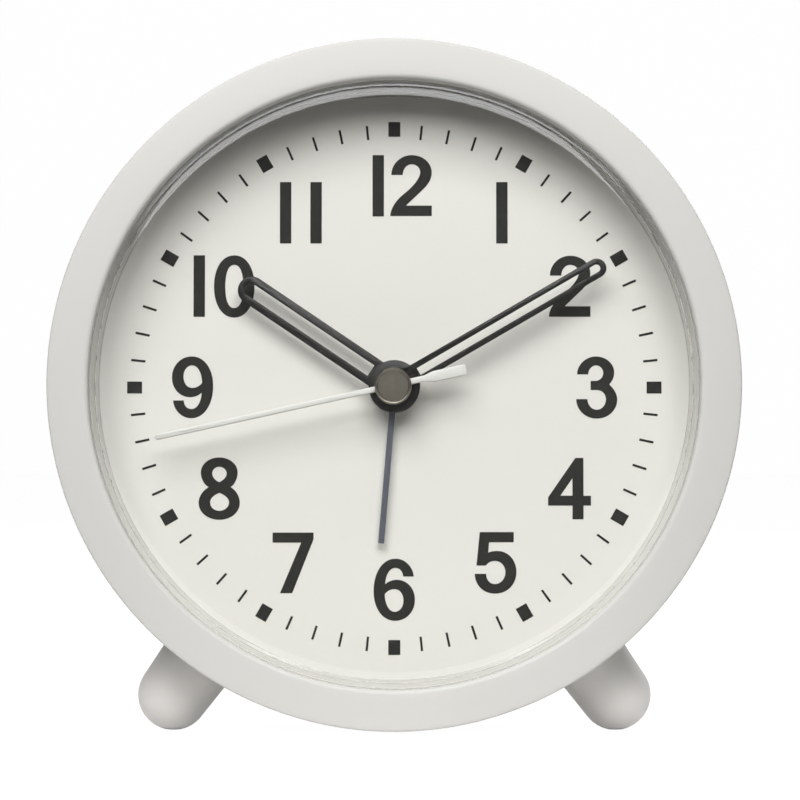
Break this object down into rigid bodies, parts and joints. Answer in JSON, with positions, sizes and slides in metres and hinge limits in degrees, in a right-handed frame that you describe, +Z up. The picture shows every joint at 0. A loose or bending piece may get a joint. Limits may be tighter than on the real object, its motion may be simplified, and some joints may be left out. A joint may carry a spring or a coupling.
{
  "type": "alarm clock",
  "caption": "Round quartz alarm clock with skeleton hands behind a clear lens, standing on peg feet and a rear heel.",
  "frame": {"origin": "middle of the footprint's bounding box, on the surface that the clock stands on", "axes": "+Z up, -Y towards the reader of the dial, +X to the reader's right"},
  "size_m": [0.1004, 0.0492, 0.1008],
  "materials": {
    "case_white": "warm light grey moulded ABS with a fine matte grain",
    "lens_clear": "clear polished acrylic",
    "dial_print": "matte printed warm white face",
    "inner_plastic": "plain moulded ABS",
    "movement_black": "black moulded ABS",
    "gear_plastic": "natural moulded acetal",
    "hand_black": "satin black lacquer on stamped aluminium",
    "hand_white": "satin white lacquer on stamped aluminium",
    "hand_slate": "satin slate lacquer on stamped aluminium",
    "cap_nickel": "dark nickel plate, turned",
    "steel_zinc": "zinc plated steel",
    "brass_tube": "turned brass",
    "iron_sheet": "bright annealed iron sheet",
    "copper_wire": "enamelled copper winding",
    "board_green": "solder-masked laminate",
    "epoxy_black": "cured black epoxy",
    "knob_white": "moulded ABS, matte",
    "cell_jacket": "plain shrink sleeve over a steel can",
    "magnet_black": "sintered magnet"
  },
  "bodies": {
    "case": {"front_case": "case_white", "rear_cover": "case_white", "left_foot": "case_white", "right_foot": "case_white", "lens": "lens_clear", "dial": "dial_print", "dial_carrier": "inner_plastic", "foot_screws": "steel_zinc", "case_screws": "steel_zinc", "movement_screws": "steel_zinc", "movement_front_housing": "movement_black", "movement_rear_housing": "movement_black", "middle_plate": "movement_black", "stator": "iron_sheet", "coil_bobbin": "gear_plastic", "coil_winding": "copper_wire", "circuit_board": "board_green", "chip_blob": "epoxy_black", "quartz_crystal": "steel_zinc", "piezo_disc": "brass_tube", "positive_contact": "steel_zinc", "negative_contact": "steel_zinc", "battery_cell": "cell_jacket", "alarm_contact_spring": "brass_tube"},
    "seconds": {"second_hand": "hand_white", "second_cap": "cap_nickel", "second_wheel": "gear_plastic"},
    "fifth": {"fifth_wheel": "gear_plastic"},
    "motor_rotor": {"rotor": "gear_plastic", "rotor_magnet": "magnet_black"},
    "third": {"third_wheel": "gear_plastic"},
    "centre": {"centre_wheel": "gear_plastic"},
    "time_setting": {"time_knob": "knob_white", "minute_wheel": "gear_plastic"},
    "minutes": {"minute_hand": "hand_black", "minute_tube": "brass_tube"},
    "hours": {"hour_hand": "hand_black", "hour_wheel": "gear_plastic"},
    "alarm_setting": {"alarm_knob": "knob_white", "alarm_setting_pinion": "gear_plastic"},
    "alarm": {"alarm_hand": "hand_slate", "alarm_wheel": "gear_plastic"},
    "switch": {"alarm_switch": "knob_white"},
    "door": {"battery_door": "case_white"}
  },
  "joints": [
    {"name": "second_turn", "type": "hinge", "parent": "case", "child": "seconds", "pos_m": [0, -0.00117, 0.04942], "axis": [0, 0.9976, -0.0698], "continuous": true},
    {"name": "fifth_turn", "type": "hinge", "parent": "case", "child": "fifth", "pos_m": [0, -0.00167, 0.04223], "axis": [0, 0.9976, -0.0698], "continuous": true},
    {"name": "rotor_turn", "type": "hinge", "parent": "case", "child": "motor_rotor", "pos_m": [0.007, -0.00167, 0.04223], "axis": [0, 0.9976, -0.0698], "continuous": true},
    {"name": "third_turn", "type": "hinge", "parent": "case", "child": "third", "pos_m": [0, -0.00031, 0.06163], "axis": [0, 0.9976, -0.0698], "continuous": true},
    {"name": "centre_turn", "type": "hinge", "parent": "case", "child": "centre", "pos_m": [0, -0.00117, 0.04942], "axis": [0, 0.9976, -0.0698], "continuous": true},
    {"name": "time_knob_turn", "type": "hinge", "parent": "case", "child": "time_setting", "pos_m": [-0.0126, -0.00117, 0.04942], "axis": [0, 0.9976, -0.0698], "continuous": true},
    {"name": "minute_turn", "type": "hinge", "parent": "case", "child": "minutes", "pos_m": [0, -0.00117, 0.04942], "axis": [0, 0.9976, -0.0698], "continuous": true},
    {"name": "hour_turn", "type": "hinge", "parent": "case", "child": "hours", "pos_m": [0, -0.00117, 0.04942], "axis": [0, 0.9976, -0.0698], "continuous": true},
    {"name": "alarm_knob_turn", "type": "hinge", "parent": "case", "child": "alarm_setting", "pos_m": [0.01344, -0.00117, 0.04942], "axis": [0, 0.9976, -0.0698], "continuous": true},
    {"name": "alarm_turn", "type": "hinge", "parent": "case", "child": "alarm", "pos_m": [0, -0.00117, 0.04942], "axis": [0, 0.9976, -0.0698], "continuous": true},
    {"name": "switch_slide", "type": "slide", "parent": "case", "child": "switch", "axis": [1, 0, 0], "range_m": [0, 0.004]},
    {"name": "door_tip", "type": "hinge", "parent": "case", "child": "door", "pos_m": [0, 0.01468, 0.01194], "axis": [-1, 0, 0], "range_deg": [0, 70]}
  ],
  "couplings": [
    {"joint": "fifth_turn", "follows": "second_turn", "ratio": -5},
    {"joint": "rotor_turn", "follows": "second_turn", "ratio": 30},
    {"joint": "third_turn", "follows": "second_turn", "ratio": -0.13333},
    {"joint": "centre_turn", "follows": "second_turn", "ratio": 0.016667},
    {"joint": "minute_turn", "follows": "time_knob_turn", "ratio": -3},
    {"joint": "hour_turn", "follows": "time_knob_turn", "ratio": -0.25},
    {"joint": "alarm_turn", "follows": "alarm_knob_turn", "ratio": -0.33333}
  ]
}
